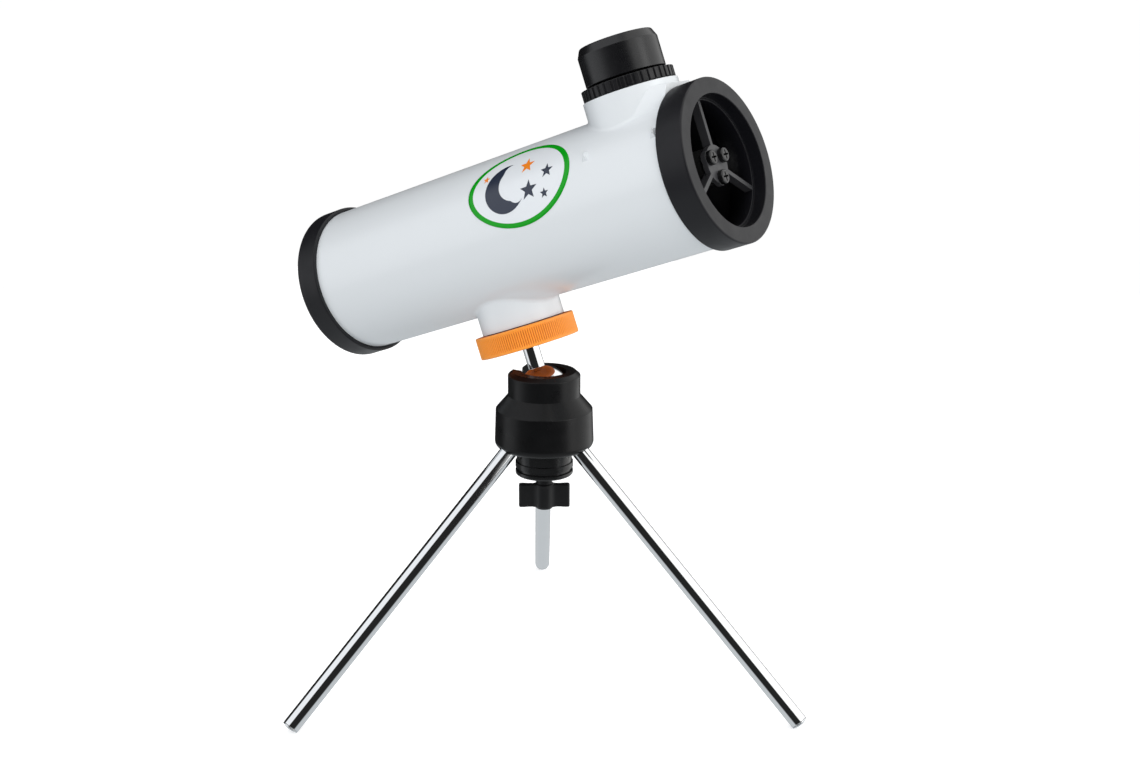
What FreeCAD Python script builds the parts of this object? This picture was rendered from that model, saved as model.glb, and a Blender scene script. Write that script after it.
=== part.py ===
import FreeCAD, Part
import math
import os
from FreeCAD import Placement, Rotation, Vector

# Tabletop reflector telescope on a folding mini tripod with a ball head.
# Millimetres, +Z up. The origin is on the floor, on the axis of the tripod head.
# The tripod parts are drawn in that frame. The telescope parts are drawn in the tube frame:
# X forward along the tube's axis, Z up through the stud, origin on the tube's axis over the stud.

X = Vector(1, 0, 0)
Y = Vector(0, 1, 0)
Z = Vector(0, 0, 1)
ORIGIN = Vector(0, 0, 0)
FAR = 400.0                 # larger than the object, for cutting tools

# Clearances
GAP = 0.3                   # between faces of different bodies
RUNNING = 0.06              # radial, between a pin or screw and its hole
SEAT = 0.05                 # radial, between pieces of one body

# Attitude of the telescope at rest
PAN = -33.95                # azimuth of the tube's nose, degrees
ALTITUDE = 20.4             # tube's nose above the horizon, degrees
NOTCH_AZIMUTH = PAN + 180.0  # the stud leans away from the nose, towards the collar's notch

# Ball and stud
BALL_Z = 123.4
BALL_R = 11.0
STUD_R = 3.45
STUD_SPIGOT_R = 3.0
THREAD_R = 3.15             # 1/4 inch photographic thread
BALL_FLAT = 10.3            # shoulder of the stud on the ball, above the ball's centre
STUD_SHOULDER = 21.0        # where the plain shank becomes thread
STUD_TOP = 35.6
LINER_IN_R = BALL_R + 0.1
LINER_OUT_R = 11.8
LINER_RIM = -3.4            # rim of the friction liner, below the ball's centre

# Housing of the tripod head
COLLAR_R = 14.85
COLLAR_EDGE_Z = 130.5
COLLAR_TOP_Z = 132.1
COLLAR_TOP_R = 13.0
MOUTH_R = 9.2
NECK_Z = 122.2
SHOULDER_R = 19.9
SHOULDER_Z = 116.3
BELL_R = 20.5
BELL_BOTTOM_Z = 100.0
BELL_ROUND = 3.0
BELL_BORE_R = 16.6
HUB_TOP_Z = 107.6
BALL_BORE_R = 12.5
BALL_BORE_TOP_Z = BALL_Z - 1.0
NOTCH_HALF_LOW = 4.2        # half width of the notch at its round floor
NOTCH_HALF_HIGH = 5.0       # half width at the collar's top
NOTCH_FLOOR_CENTRE_Z = BALL_Z + 1.0

# Leg hub
HUB_R = BELL_BORE_R - SEAT
SPOOL_BOTTOM_Z = 88.3
SPOOL_FLANGE_R = 11.9
SPOOL_GROOVE_R = 11.1
SPOOL_NECK_R = 11.4

# Legs
LEG_AZIMUTHS = (90.0, 210.0, 330.0)
LEG_R = 3.45
LEG_SPREAD = 45.5           # degrees from vertical when open
LEG_FOLDED = 16.0           # degrees from vertical when closed against the hub's flange
PIVOT_R = 13.0              # hinge pin's distance from the head's axis
PIVOT_Z = 104.0
FOOT_DOME = 0.8             # how far the tip's round end stands beyond its rim
LEG_WALL = 0.8
TIP_LENGTH = 3.4
PIN_R = 1.25
PIN_LENGTH = 17.0
LEG_SLOT = LEG_R + GAP

# Screws that hold the hub in the bell
HUB_SCREW_AZIMUTHS = (30.0, 150.0, 270.0)
HUB_SCREW_PCR = 14.5
HUB_SCREW_R = 1.2
HUB_SCREW_HEAD_R = 1.9
HUB_SCREW_HEAD_H = 1.6
HUB_SCREW_TOP_Z = 113.0

# Clamp
CUP_R = BALL_BORE_R - GAP
CUP_BOTTOM_Z = 109.6
CUP_TOP_Z = 116.0
CLAMP_SCREW_R = 3.0
WING_SPAN = 21.2
WING_THICK = 3.0
WING_BOTTOM_Z = 73.7
WING_TOP_Z = 83.5
WING_HUB_R = 3.9
WING_HUB_BOTTOM_Z = 73.0
WING_COLLAR_R = 3.25
WING_COLLAR_TOP_Z = 87.5

# Lock ring and its pad, heights from the ball's centre along the stud
RING_R = 20.7
RING_BOTTOM = 19.5
RING_TOP = 28.5
RING_COUNTERBORE = 23.2
PAD_R = 15.5
PAD_HOLE_R = 4.5
PAD_BOTTOM = 27.7
PAD_TOP = 28.55

# Telescope tube, in the tube frame
AXIS_HEIGHT = 66.25         # ball's centre to the tube's axis
TUBE_R = 30.0
TUBE_WALL = 2.0
TUBE_REAR = -80.0
TUBE_FRONT = 104.5
BOSS_R = 17.3
BOSS_BOTTOM = -37.4
INSERT_R = 5.0
INSERT_TOP = -29.9
TURRET_X = 80.0
TURRET_R = 18.7
TURRET_TOP = 36.3
TURRET_NECK_R = 15.0
TURRET_NECK_TOP = 39.2
RAMP_HALF = 8.5             # half width and height of the ramp's top at the front ring
RAMP_TOP = 33.4
RAMP_FOOT_HALF = 21.0       # the same for the foot of its flanks, inside the tube
RAMP_FOOT = 19.5
TUBE_FILLET = 2.0
SIGHT_ANGLE = 146.0         # round the tube, from +Y towards +Z
SIGHT_POSITIONS = (67.5, 98.3)
LABEL_X = 35.8
LABEL_ANGLE = 147.9
LABEL_HALF_LENGTH = 24.9
LABEL_HALF_WIDTH = 16.6
LABEL_THICK = 0.2

# Front ring, spider and secondary mirror
RING_FACE = 112.1
FRONT_RING_R = 31.85
FRONT_RING_REAR = 100.8
APERTURE_R = 25.5
SPIDER_FACE = 106.9
STEP_R = 24.4
SPIGOT_REAR = 97.0
VANE_ANGLES = (90.0, 210.0, 330.0)
VANE_WIDTH = 1.8
VANE_DEPTH = 3.5
SPIDER_HUB_R = 8.0
SPIDER_PLATE = 2.2
SPIDER_SCREW_ANGLES = (30.0, 150.0, 270.0)
SPIDER_SCREW_PCR = 5.3
SPIDER_SCREW_HEAD_R = 2.85
SPIDER_SCREW_HEAD_H = 2.0
SPIDER_SCREW_R = 1.4
SECONDARY_R = 6.5
SECONDARY_THICK = 2.5
HOLDER_R = 6.9

# Rear cap and primary mirror
CAP_R = 31.75
CAP_FRONT = -73.2
CAP_REAR = -83.6
CAP_RECESS_R = 23.0
CAP_RECESS = 1.6
CELL_FLOOR = -77.4
MIRROR_R = 25.6
MIRROR_BACK = -77.3
MIRROR_FRONT = -72.0
MIRROR_CURVE_R = 400.0      # twice the focal length
CELL_WALL_IN_R = 25.9
CELL_FRONT = -71.9
RETAINER_IN_R = 24.4
RETAINER_FRONT = -70.4
CELL_SCREW_PCR = 18.0
CELL_SCREW_ANGLES = (30.0, 150.0, 270.0)
CELL_SCREW_R = 1.5
CELL_SCREW_HEAD_R = 2.6
CELL_SCREW_HEAD_H = 1.5

# Focuser and eyepiece, heights from the tube's axis
DRAW_R = 13.2
DRAW_IN_R = 12.2
DRAW_BOTTOM = 18.0
DRAW_TOP = 41.6
FOCUS_RING_R = 18.1
FOCUS_RING_BOTTOM = 36.7
FOCUS_RING_TOP = 40.9
FOCUS_LIP_BOTTOM = 39.6
FOCUS_RIBS = 40
FOCUS_RIB_DEPTH = 0.6
BARREL_R = 12.1
BARREL_IN_R = 10.4
BARREL_BOTTOM = 20.0
BARREL_TOP = 51.3
EYECUP_R = 15.7
EYECUP_BOTTOM = 41.8
EYECUP_EDGE = 53.3
EYECUP_TOP = 56.6
EYECUP_TOP_R = 14.2
EYECUP_LIP_R = 11.6
EYE_OPENING_R = 7.6
LENS_R = 10.3
FIELD_LENS_BOTTOM = 23.0
EYE_LENS_BOTTOM = 45.8
LENS_EDGE = 1.6
LENS_CURVE_R = 32.0
SPACER_IN_R = 8.8


def revolved(outline):
    """Solid of revolution about Z of a closed outline of (radius, height) points."""
    points = [Vector(r, 0, h) for r, h in outline]
    face = Part.Face(Part.makePolygon(points + points[:1]))
    return face.revolve(ORIGIN, Z, 360)


def cylinder(radius, bottom, top, centre=ORIGIN):
    """Upright cylinder between two heights."""
    return Part.makeCylinder(radius, top - bottom, centre + Z * bottom)


def tube(outer, inner, bottom, top):
    """Upright hollow cylinder."""
    return cylinder(outer, bottom, top).cut(cylinder(inner, bottom - 1, top + 1))


def circle_edges(shape, rings):
    """Edges of a shape about Z that are circles of the given (radius, height)."""
    found = []
    for edge in shape.Edges:
        if isinstance(edge.Curve, Part.Circle):
            radius, height = edge.Curve.Radius, edge.Curve.Center.z
            if any(abs(radius - r) < 0.01 and abs(height - h) < 0.01 for r, h in rings):
                found.append(edge)
    return found


def rounded(shape, size, rings):
    """The shape with a fillet on each of its circular edges (radius, height)."""
    return shape.makeFillet(size, circle_edges(shape, rings))


def chamfered(shape, size, rings):
    """The shape with a chamfer on each of its circular edges (radius, height)."""
    return shape.makeChamfer(size, circle_edges(shape, rings))


def turned(shape, angle, axis=Z, centre=ORIGIN):
    """A copy of the shape turned about an axis."""
    copy = shape.copy()
    copy.rotate(centre, axis, angle)
    return copy


def moved(shape, offset):
    """A copy of the shape moved by a vector."""
    copy = shape.copy()
    copy.translate(offset)
    return copy


def along_tube(shape):
    """Turns a shape drawn about Z so that its axis is the tube's axis and +Z points forward."""
    return turned(shape, 90, Y)


def polar(radius, angle):
    """Point at a radius and an angle in the XY plane."""
    a = math.radians(angle)
    return Vector(radius * math.cos(a), radius * math.sin(a), 0)


def round_tube(radius, angle):
    """Direction round the tube, in the tube frame: angle from +Y towards +Z."""
    a = math.radians(angle)
    return Vector(0, radius * math.cos(a), radius * math.sin(a))


def half_space(point, normal):
    """Large block that fills the side of a plane that its normal points to."""
    block = Part.makeBox(FAR, FAR, FAR, Vector(-FAR / 2, -FAR / 2, 0))
    block.Placement = Placement(point, Rotation(Z, normal))
    return block


def sphere(radius, centre=ORIGIN):
    """Sphere about a point."""
    return Part.makeSphere(radius, centre)


def union(shapes):
    """One solid from several overlapping ones."""
    return shapes[0].multiFuse(shapes[1:]).removeSplitter()


BALL_CENTRE = Vector(0, 0, BALL_Z)
ATTITUDE = Rotation(Z, PAN).multiply(Rotation(Y, -ALTITUDE))


def on_stud(shape):
    """Places a shape drawn about the stud, with heights from the ball's centre."""
    placed = shape.copy()
    placed.Placement = Placement(BALL_CENTRE, ATTITUDE).multiply(placed.Placement)
    return placed


def on_tube(shape):
    """Places a shape drawn in the tube frame."""
    return on_stud(moved(shape, Z * AXIS_HEIGHT))


# ---- tripod head ----

def leg_direction(azimuth, spread):
    """Unit vector down a leg at an angle from vertical."""
    s = math.radians(spread)
    return polar(math.sin(s), azimuth) - Z * math.cos(s)


def leg_pivot(azimuth):
    """Centre of a leg's hinge pin."""
    return polar(PIVOT_R, azimuth) + Z * PIVOT_Z


def leg_sweep(azimuth):
    """Space that one leg needs as it swings between folded and spread."""
    reach = 40.0
    pivot = leg_pivot(azimuth)
    limits = [leg_direction(azimuth, angle) for angle in (LEG_SPREAD, LEG_FOLDED)]
    side = polar(LEG_SLOT, azimuth + 90)
    corners = [pivot - side] + [pivot + d * reach - side for d in limits]
    fan = Part.Face(Part.makePolygon(corners + corners[:1])).extrude(side * 2)
    rods = [Part.makeCylinder(LEG_SLOT, reach, pivot, d) for d in limits]
    return union([fan, sphere(LEG_SLOT, pivot)] + rods)


def hub_screw_holes(radius):
    """Holes for the three screws between hub and bell."""
    holes = [
        cylinder(radius, BELL_BOTTOM_Z - 1, HUB_SCREW_TOP_Z + 0.5, polar(HUB_SCREW_PCR, azimuth))
        for azimuth in HUB_SCREW_AZIMUTHS
    ]
    return Part.makeCompound(holes)


def notch():
    """The collar's notch: a round floor under slightly flared walls."""
    low, high = NOTCH_FLOOR_CENTRE_Z, COLLAR_TOP_Z + 8
    flare = (NOTCH_HALF_HIGH - NOTCH_HALF_LOW) / (COLLAR_TOP_Z - low)
    wide = NOTCH_HALF_LOW + flare * (high - low)
    corners = [
        Vector(0, -NOTCH_HALF_LOW, low),
        Vector(0, NOTCH_HALF_LOW, low),
        Vector(0, wide, high),
        Vector(0, -wide, high),
    ]
    walls = Part.Face(Part.makePolygon(corners + corners[:1])).extrude(X * 30)
    floor = Part.makeCylinder(NOTCH_HALF_LOW, 30, Z * low, X)
    return turned(walls.fuse(floor), NOTCH_AZIMUTH)


def bell_housing():
    """One casting: bell over the leg hinges, shoulder, and collar round the ball."""
    body = revolved([
        (0, BELL_BOTTOM_Z),
        (BELL_R, BELL_BOTTOM_Z),
        (SHOULDER_R, SHOULDER_Z),
        (COLLAR_R, NECK_Z),
        (COLLAR_R, COLLAR_EDGE_Z),
        (COLLAR_TOP_R, COLLAR_TOP_Z),
        (0, COLLAR_TOP_Z),
    ])
    body = rounded(body, BELL_ROUND, [(BELL_R, BELL_BOTTOM_Z)])
    body = rounded(body, 0.5, [(SHOULDER_R, SHOULDER_Z), (COLLAR_R, COLLAR_EDGE_Z)])
    body = body.cut(cylinder(BELL_BORE_R, BELL_BOTTOM_Z - 1, HUB_TOP_Z + SEAT))
    body = body.cut(cylinder(BALL_BORE_R, HUB_TOP_Z, BALL_BORE_TOP_Z))
    body = body.cut(sphere(BALL_R + GAP, BALL_CENTRE))
    body = body.cut(cylinder(MOUTH_R, BALL_Z, COLLAR_TOP_Z + 1))
    body = body.cut(notch())
    for azimuth in LEG_AZIMUTHS:
        body = body.cut(leg_sweep(azimuth))
    return body.cut(hub_screw_holes(HUB_SCREW_R + SEAT))


def leg_hub():
    """Spool below the bell and, inside it, the disc that carries the leg hinges."""
    body = revolved([
        (CLAMP_SCREW_R + RUNNING, SPOOL_BOTTOM_Z),
        (SPOOL_FLANGE_R, SPOOL_BOTTOM_Z),
        (SPOOL_FLANGE_R, 90.1),
        (SPOOL_GROOVE_R, 90.3),
        (SPOOL_GROOVE_R, 91.4),
        (SPOOL_FLANGE_R, 91.6),
        (SPOOL_FLANGE_R, 93.8),
        (SPOOL_NECK_R, 93.8),
        (SPOOL_NECK_R, BELL_BOTTOM_Z + 0.2),
        (HUB_R, BELL_BOTTOM_Z + 0.2),
        (HUB_R, HUB_TOP_Z),
        (CLAMP_SCREW_R + RUNNING, HUB_TOP_Z),
    ])
    body = rounded(body, 0.8, [(SPOOL_FLANGE_R, SPOOL_BOTTOM_Z)])
    for azimuth in LEG_AZIMUTHS:
        body = body.cut(leg_sweep(azimuth))
        body = body.cut(hinge_pin(azimuth, SEAT))
    body = body.cut(hub_screw_holes(HUB_SCREW_R + SEAT))
    for azimuth in HUB_SCREW_AZIMUTHS:
        head = cylinder(
            HUB_SCREW_HEAD_R + SEAT,
            BELL_BOTTOM_Z,
            BELL_BOTTOM_Z + 0.2 + HUB_SCREW_HEAD_H,
            polar(HUB_SCREW_PCR, azimuth),
        )
        body = body.cut(head)
    return body


def hinge_pin(azimuth, extra=0.0):
    """Hinge pin of one leg, or its hole when given extra radius."""
    half = polar(PIN_LENGTH / 2, azimuth + 90)
    return Part.makeCylinder(PIN_R + extra, PIN_LENGTH, leg_pivot(azimuth) - half, half)


def leg_pins():
    """The three hinge pins."""
    return Part.makeCompound([hinge_pin(azimuth) for azimuth in LEG_AZIMUTHS])


def hub_screws():
    """Three socket-head screws from below through the hub into the bell."""
    head_bottom = BELL_BOTTOM_Z + 0.2
    head_top = head_bottom + HUB_SCREW_HEAD_H
    screw = cylinder(HUB_SCREW_HEAD_R, head_bottom, head_top)
    screw = screw.fuse(cylinder(HUB_SCREW_R, head_top, HUB_SCREW_TOP_Z))
    socket = Part.makePolygon([polar(1.0, 60 * k) + Z * head_bottom for k in range(7)])
    screw = screw.cut(Part.Face(socket).extrude(Z * 1.0))
    return Part.makeCompound([moved(screw, polar(HUB_SCREW_PCR, a)) for a in HUB_SCREW_AZIMUTHS])


# ---- legs ----

def leg_length():
    """Hinge to the foot's rim, so that the rim's lowest point just rests on the floor."""
    s = math.radians(LEG_SPREAD)
    return (PIVOT_Z - LEG_R * math.sin(s)) / math.cos(s)


def along_leg(shape, azimuth):
    """Places a shape drawn down -Z from the hinge along a spread leg."""
    placed = turned(shape, -LEG_SPREAD, Y)
    placed = turned(placed, azimuth)
    return moved(placed, leg_pivot(azimuth))


def leg_rod(azimuth):
    """Leg tube with a closed, drilled hinge end."""
    length = leg_length()
    rod = cylinder(LEG_R, -length + 0.5, 0).fuse(sphere(LEG_R))
    rod = rod.cut(cylinder(LEG_R - LEG_WALL, -length - 1, -14))
    rod = rod.cut(Part.makeCylinder(PIN_R + RUNNING, 20, Y * -10, Y))
    return along_leg(rod, azimuth)


def leg_tip(azimuth):
    """Domed plug pressed into the foot end of a leg."""
    length = leg_length()
    dome = cylinder(LEG_R, -length, -length + 0.45)
    curve_r = (LEG_R ** 2 + FOOT_DOME ** 2) / (2 * FOOT_DOME)
    ball = sphere(curve_r, Z * (curve_r - length - FOOT_DOME))
    cap = ball.common(cylinder(LEG_R, -length - FOOT_DOME, -length))
    shank = cylinder(LEG_R - LEG_WALL - SEAT, -length + 0.4, -length + TIP_LENGTH)
    return along_leg(union([dome, cap, shank]), azimuth)


# ---- clamp below the ball ----

def pressure_cup():
    """Cup that the clamp screw pushes up against the ball's liner."""
    cup = cylinder(CUP_R, CUP_BOTTOM_Z, CUP_TOP_Z)
    return cup.cut(sphere(LINER_OUT_R + GAP, BALL_CENTRE))


def clamp_screw():
    """Screw through the hub, with a reduced point under the pressure cup."""
    point_z = HUB_TOP_Z + 0.3
    shank = cylinder(CLAMP_SCREW_R, WING_HUB_BOTTOM_Z + 2, point_z)
    point = cylinder(2.2, point_z, CUP_BOTTOM_Z - SEAT)
    return chamfered(shank.fuse(point), 0.4, [(CLAMP_SCREW_R, point_z)])


def wing_knob():
    """Wing head moulded round the screw's lower end."""
    hub = revolved([
        (0, WING_HUB_BOTTOM_Z),
        (WING_HUB_R - 0.5, WING_HUB_BOTTOM_Z),
        (WING_HUB_R, WING_TOP_Z - 0.2),
        (WING_HUB_R - 0.4, WING_TOP_Z + 0.4),
        (WING_COLLAR_R, WING_TOP_Z + 0.6),
        (WING_COLLAR_R, WING_COLLAR_TOP_Z),
        (0, WING_COLLAR_TOP_Z),
    ])
    height = WING_TOP_Z - WING_BOTTOM_Z
    corner = Vector(-WING_SPAN / 2, -WING_THICK / 2, WING_BOTTOM_Z)
    wings = Part.makeBox(WING_SPAN, WING_THICK, height, corner)
    tips = [e for e in wings.Edges if abs(e.CenterOfMass.x) > WING_SPAN / 2 - 0.1]
    wings = wings.makeFillet(0.9, tips)
    knob = hub.fuse(wings)
    return knob.cut(cylinder(CLAMP_SCREW_R + SEAT, WING_HUB_BOTTOM_Z + 2 - SEAT, 100))


# ---- ball and stud ----

def ball_liner():
    """Thin friction bowl between the ball and the pressure cup."""
    bowl = sphere(LINER_OUT_R).cut(sphere(LINER_IN_R))
    bowl = bowl.cut(half_space(Z * LINER_RIM, Z))
    return moved(bowl, BALL_CENTRE)


def ball():
    """Ball with a flat and a blind hole for the stud."""
    body = sphere(BALL_R).cut(half_space(Z * BALL_FLAT, Z))
    return on_stud(body.cut(cylinder(STUD_SPIGOT_R + SEAT, -2.0, BALL_R)))


def stud():
    """Stud pressed into the ball, threaded at its upper end."""
    body = cylinder(STUD_SPIGOT_R, -2.0 + SEAT, BALL_FLAT)
    body = body.fuse(cylinder(STUD_R, BALL_FLAT, STUD_SHOULDER))
    body = body.fuse(cylinder(THREAD_R, STUD_SHOULDER, STUD_TOP))
    body = chamfered(body, 0.2, [(STUD_R, STUD_SHOULDER)])
    return on_stud(chamfered(body, 0.5, [(THREAD_R, STUD_TOP)]))


def lock_ring():
    """Thumb wheel on the stud's thread that locks the telescope's boss."""
    bore = THREAD_R + RUNNING
    recess = PAD_R + GAP
    body = revolved([
        (STUD_R + GAP, RING_BOTTOM),
        (RING_R - 0.3, RING_BOTTOM),
        (RING_R, RING_BOTTOM + 1.0),
        (RING_R, RING_TOP - 1.0),
        (RING_R - 0.3, RING_TOP),
        (recess, RING_TOP),
        (recess, PAD_BOTTOM - 0.1),
        (bore, PAD_BOTTOM - 0.1),
        (bore, RING_COUNTERBORE),
        (STUD_R + GAP, RING_COUNTERBORE),
    ])
    return on_stud(rounded(body, 0.6, [(RING_R - 0.3, RING_BOTTOM), (RING_R - 0.3, RING_TOP)]))


def grip_pad():
    """Rubber washer in the lock ring's top."""
    return on_stud(tube(PAD_R, PAD_HOLE_R, PAD_BOTTOM, PAD_TOP))


# ---- telescope tube ----

def fairing():
    """Ramp between the turret and the front ring, with flanks that lean over towards the ring."""
    sections = [
        (TURRET_X, [(TURRET_R, 10), (TURRET_R, TURRET_TOP)]),
        (FRONT_RING_REAR - 0.05, [(RAMP_FOOT_HALF, RAMP_FOOT), (RAMP_HALF, RAMP_TOP)]),
    ]
    wires = []
    for position, half in sections:
        outline = [Vector(position, y, z) for y, z in half]
        outline += [Vector(position, -y, z) for y, z in reversed(half)]
        wires.append(Part.makePolygon(outline + outline[:1]))
    return Part.makeLoft(wires, True, True)


def sight(position):
    """Small wedge-shaped bead of the open sight, standing on the tube."""
    points = [
        Vector(-1.7, -2.6, -1.2),
        Vector(1.7, -2.6, -1.2),
        Vector(1.7, 2.6, -1.2),
        Vector(-1.7, 2.6, -1.2),
    ]
    ridge = [Vector(1.2, -0.5, 2.1), Vector(1.2, 0.5, 2.1)]
    p, r = points, ridge
    outlines = [
        [p[0], p[3], p[2], p[1]],
        [p[0], p[1], r[0]],
        [p[1], p[2], r[1], r[0]],
        [p[2], p[3], r[1]],
        [p[3], p[0], r[0], r[1]],
    ]
    faces = [Part.Face(Part.makePolygon(o + o[:1])) for o in outlines]
    wedge = Part.makeSolid(Part.makeShell(faces))
    wedge = turned(wedge, SIGHT_ANGLE - 90, X)
    return moved(wedge, X * position + round_tube(TUBE_R, SIGHT_ANGLE))


def optical_tube():
    """Moulded tube with the tripod boss below and the focuser turret on top."""
    skin = along_tube(cylinder(TUBE_R, TUBE_REAR, TUBE_FRONT))
    turret = cylinder(TURRET_R, 10, TURRET_TOP, X * TURRET_X)
    boss = cylinder(BOSS_R, BOSS_BOTTOM, -10)
    body = union([skin, turret.fuse(fairing()).removeSplitter(), boss])
    corner = [e for e in body.Edges if is_boss_corner(e)]
    body = body.makeFillet(TUBE_FILLET, corner)
    body = body.fuse(cylinder(TURRET_NECK_R, TURRET_TOP - 1, TURRET_NECK_TOP, X * TURRET_X))
    for position in SIGHT_POSITIONS:
        body = body.fuse(sight(position))
    bore = along_tube(cylinder(TUBE_R - TUBE_WALL, TUBE_REAR - 1, TUBE_FRONT + 1))
    body = body.cut(bore)
    body = body.cut(cylinder(DRAW_R + GAP, 0, 60, X * TURRET_X))
    return on_tube(body.cut(cylinder(INSERT_R + SEAT, BOSS_BOTTOM - 1, INSERT_TOP)))


def is_boss_corner(edge):
    """True for the curved edges where the boss or the turret's rear meets the tube."""
    centre = edge.CenterOfMass
    if isinstance(edge.Curve, (Part.Line, Part.Circle)):
        return False
    on_boss = centre.z < -15 and abs(centre.x) < BOSS_R
    on_turret = centre.z > 15 and centre.x < TURRET_X
    return on_boss or on_turret


def mount_insert():
    """Threaded brass bush in the tripod boss."""
    return on_tube(tube(INSERT_R, THREAD_R + RUNNING, BOSS_BOTTOM + 0.1, INSERT_TOP))


def side_label():
    """Thin oval plate that follows the tube's side."""
    shell = along_tube(tube(TUBE_R + LABEL_THICK, TUBE_R + 0.01, 0, 90))
    ellipse = Part.Ellipse(ORIGIN, LABEL_HALF_LENGTH, LABEL_HALF_WIDTH).toShape()
    prism = Part.Face(Part.Wire(ellipse)).extrude(Z * 40)
    prism = turned(prism, LABEL_ANGLE - 90, X)
    return on_tube(shell.common(moved(prism, X * LABEL_X)))


# ---- front end ----

def front_ring():
    """Ring that closes the tube's front and holds the spider."""
    body = revolved([
        (FRONT_RING_R, FRONT_RING_REAR),
        (FRONT_RING_R, RING_FACE),
        (APERTURE_R, RING_FACE),
        (APERTURE_R, SPIDER_FACE),
        (STEP_R, SPIDER_FACE),
        (STEP_R, SPIGOT_REAR),
        (TUBE_R - TUBE_WALL - SEAT, SPIGOT_REAR),
        (TUBE_R - TUBE_WALL - SEAT, TUBE_FRONT + SEAT),
        (TUBE_R + SEAT, TUBE_FRONT + SEAT),
        (TUBE_R + SEAT, FRONT_RING_REAR),
    ])
    body = rounded(body, 0.6, [(FRONT_RING_R, RING_FACE), (FRONT_RING_R, FRONT_RING_REAR)])
    return on_tube(along_tube(body))


def facing_forward(shape):
    """Turns a shape drawn about Z so that +Z points forward and +Y becomes the tube's up."""
    upright = turned(shape, 90, X)
    return turned(upright, 90, Z)


def spider():
    """Three flat vanes and the plate that carries the secondary mirror."""
    plate = cylinder(SPIDER_HUB_R, SPIDER_FACE - SPIDER_PLATE, SPIDER_FACE)
    length = STEP_R - SEAT
    vanes = []
    for angle in VANE_ANGLES:
        corner = Vector(0, -VANE_WIDTH / 2, SPIDER_FACE - VANE_DEPTH)
        vanes.append(turned(Part.makeBox(length, VANE_WIDTH, VANE_DEPTH, corner), angle))
    inside = cylinder(length, SPIDER_FACE - VANE_DEPTH, SPIDER_FACE)
    body = union([plate] + vanes).common(inside)
    body = body.cut(cylinder(4.0, SPIDER_FACE - VANE_DEPTH - 1, SPIDER_FACE - SPIDER_PLATE))
    for angle in SPIDER_SCREW_ANGLES:
        hole = cylinder(SPIDER_SCREW_R + SEAT, 90, 120, polar(SPIDER_SCREW_PCR, angle))
        body = body.cut(hole)
    return on_tube(facing_forward(body))


def cross_recess(top, reach, width, depth):
    """Cross-shaped driver recess cut down from a height."""
    bar = Part.makeBox(2 * reach, width, depth, Vector(-reach, -width / 2, top - depth))
    return bar.fuse(turned(bar, 90))


def pan_screw(head_r, head_h, shank_r, seat, length):
    """Pan-head screw about Z with its head above the seat height."""
    top = seat + head_h
    head = rounded(cylinder(head_r, seat, top), head_h * 0.4, [(head_r, top)])
    screw = head.fuse(cylinder(shank_r, seat - length, seat))
    return screw.cut(cross_recess(top, head_r * 0.62, 0.7, head_h * 0.6))


def secondary_screws():
    """Three screws that aim the secondary mirror."""
    screw = pan_screw(
        SPIDER_SCREW_HEAD_R, SPIDER_SCREW_HEAD_H, SPIDER_SCREW_R, SPIDER_FACE, 6.0
    )
    screws = [moved(screw, polar(SPIDER_SCREW_PCR, a)) for a in SPIDER_SCREW_ANGLES]
    return on_tube(facing_forward(Part.makeCompound(screws)))


MIRROR_NORMAL = Vector(-1, 0, 1).normalize()


def secondary_holder():
    """Stalk behind the spider, cut at 45 degrees to carry the secondary mirror."""
    back = X * TURRET_X - MIRROR_NORMAL * (SECONDARY_THICK + SEAT)
    stalk_front = SPIDER_FACE - VANE_DEPTH - SEAT
    stalk = along_tube(cylinder(HOLDER_R, 60, stalk_front))
    stalk = stalk.cut(half_space(back, MIRROR_NORMAL))
    boss = along_tube(cylinder(3.9, stalk_front, SPIDER_FACE - SPIDER_PLATE - SEAT))
    body = stalk.fuse(boss)
    for angle in SPIDER_SCREW_ANGLES:
        spot = polar(SPIDER_SCREW_PCR, angle)
        body = body.cut(facing_forward(cylinder(SPIDER_SCREW_R + SEAT, 99.0, 120, spot)))
    return on_tube(body)


def secondary_mirror():
    """Oval flat mirror at 45 degrees under the focuser."""
    centre = X * TURRET_X
    rod = along_tube(cylinder(SECONDARY_R, 60, 110))
    rod = rod.cut(half_space(centre, MIRROR_NORMAL))
    return on_tube(rod.cut(half_space(centre - MIRROR_NORMAL * SECONDARY_THICK, MIRROR_NORMAL * -1)))


# ---- rear end ----

def rear_cap():
    """Cap over the tube's rear end."""
    plate_front = TUBE_REAR - 0.1
    body = revolved([
        (TUBE_R + SEAT, CAP_FRONT),
        (CAP_R, CAP_FRONT),
        (CAP_R, CAP_REAR),
        (CAP_RECESS_R, CAP_REAR),
        (CAP_RECESS_R, CAP_REAR + CAP_RECESS),
        (0, CAP_REAR + CAP_RECESS),
        (0, plate_front),
        (TUBE_R + SEAT, plate_front),
    ])
    body = rounded(body, 1.6, [(CAP_R, CAP_REAR)])
    body = rounded(body, 0.4, [(CAP_R, CAP_FRONT), (CAP_RECESS_R, CAP_REAR)])
    body = body.cut(cell_screw_holes())
    return on_tube(along_tube(body))


def cell_screw_holes():
    """Holes for the three screws of the mirror cell."""
    holes = [
        cylinder(CELL_SCREW_R + SEAT, CAP_REAR - 1, CELL_FLOOR - 0.6, polar(CELL_SCREW_PCR, a))
        for a in CELL_SCREW_ANGLES
    ]
    return Part.makeCompound(holes)


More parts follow.
